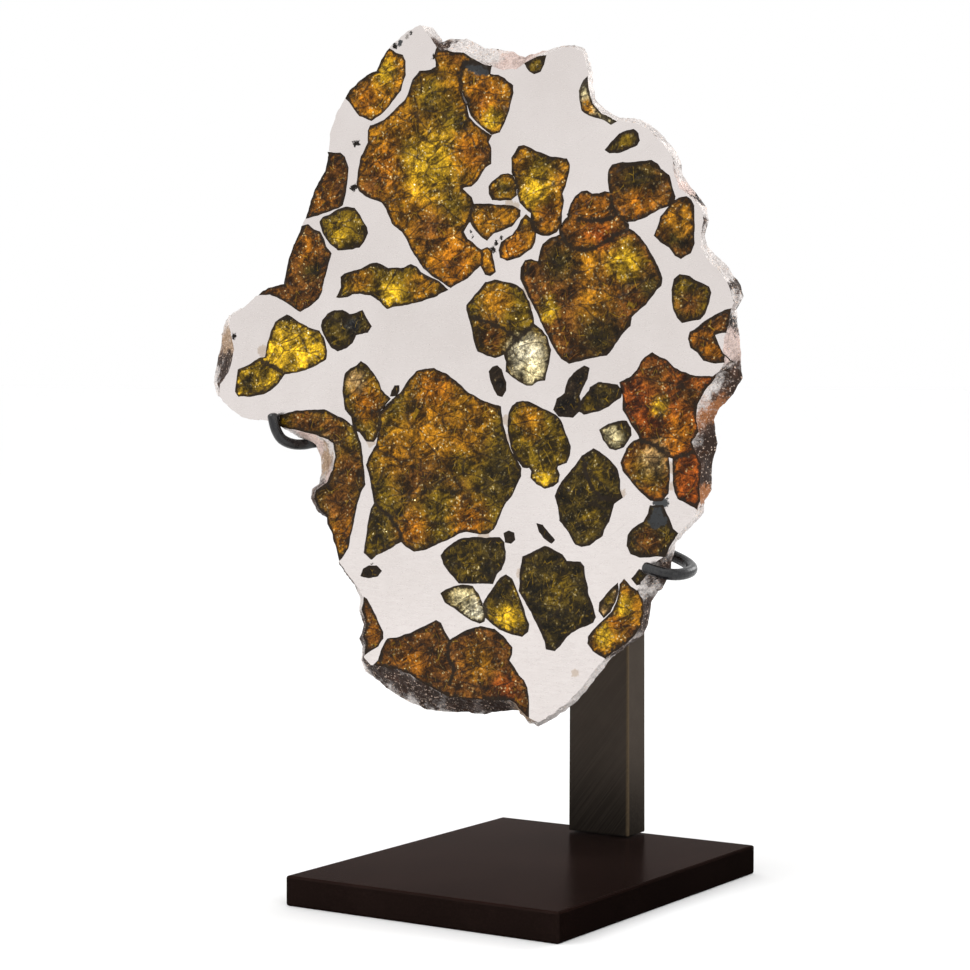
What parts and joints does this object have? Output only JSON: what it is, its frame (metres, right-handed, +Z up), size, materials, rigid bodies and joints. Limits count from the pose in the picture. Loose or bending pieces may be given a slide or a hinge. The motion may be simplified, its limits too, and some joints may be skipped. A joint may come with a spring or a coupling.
{
  "type": "meteorite slice on stand",
  "caption": "Polished pallasite meteorite slice with amber olivine crystals in bright metal, held by two hooks on a bronzed steel stand.",
  "frame": {"origin": "centre of the base plate's underside", "axes": "+Z up along the height, -Y towards the polished face, X along the slice's width"},
  "size_m": [0.1369, 0.0838, 0.1858],
  "materials": {
    "meteoric_iron": "polished flat, natural rough rim",
    "olivine_amber": "polished translucent crystal",
    "olivine_brown": "polished translucent crystal",
    "olivine_green": "polished translucent crystal",
    "olivine_gold": "polished translucent crystal",
    "olivine_dark": "polished dark inclusion",
    "bronzed_steel": "dark bronze patina, finely brushed",
    "blackened_steel": "black, semi gloss"
  },
  "bodies": {
    "root": {"metal_matrix": "meteoric_iron", "crystal_top_cluster": "olivine_amber", "crystal_right_cluster": "olivine_brown", "crystal_left_cluster": "olivine_amber", "crystal_edge_cluster": "olivine_brown", "crystal_upper_pair": "olivine_amber", "crystal_middle_pair": "olivine_green", "crystal_small_pair": "olivine_dark", "crystal_lower_pair": "olivine_gold", "crystal_c01": "olivine_amber", "crystal_c04": "olivine_green", "crystal_c05": "olivine_gold", "crystal_c06": "olivine_dark", "crystal_c16": "olivine_brown", "crystal_c19": "olivine_green", "crystal_c20": "olivine_brown", "crystal_c21": "olivine_amber", "crystal_c22": "olivine_gold", "crystal_c24": "olivine_dark", "crystal_c27": "olivine_dark", "crystal_c30": "olivine_green", "crystal_c31": "olivine_brown", "crystal_c34": "olivine_dark", "crystal_c37": "olivine_green", "crystal_c38": "olivine_green", "crystal_c39": "olivine_green", "crystal_c43": "olivine_dark", "crystal_c45": "olivine_dark", "crystal_c46": "olivine_green", "crystal_c47": "olivine_dark", "crystal_c48": "olivine_dark", "crystal_c49": "olivine_green", "crystal_c52": "olivine_green", "crystal_c53": "olivine_amber", "crystal_c54": "olivine_brown", "crystal_c56": "olivine_brown", "crystal_c58": "olivine_dark", "hook_left": "blackened_steel", "hook_right": "blackened_steel", "support_arm": "bronzed_steel", "post": "bronzed_steel", "base_plate": "bronzed_steel"}
  },
  "joints": []
}
